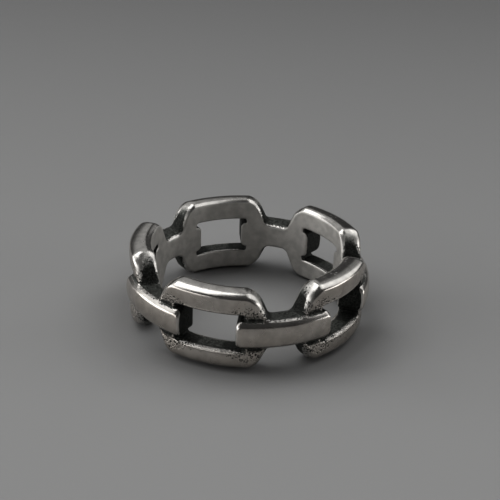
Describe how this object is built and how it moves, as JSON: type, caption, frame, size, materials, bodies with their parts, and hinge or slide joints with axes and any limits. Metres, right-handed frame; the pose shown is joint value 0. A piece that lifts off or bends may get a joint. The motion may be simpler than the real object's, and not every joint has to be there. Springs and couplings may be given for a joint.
{
  "type": "chain link ring",
  "caption": "Finger ring cast as a closed band of open rectangular frame links joined by raised bar links, polished outside with darkened recesses.",
  "frame": {"origin": "on the finger's axis, level with the underside that the ring lies on", "axes": "+Z along the finger's axis and up; +Y away from the picture's camera"},
  "size_m": [0.0239, 0.0242, 0.0081],
  "materials": {
    "antique_silver": "polished silver on the faces and edges, satin on the finger side, blackened and pitted in the recesses"
  },
  "bodies": {
    "root": {"chain_band": "antique_silver"}
  },
  "joints": []
}
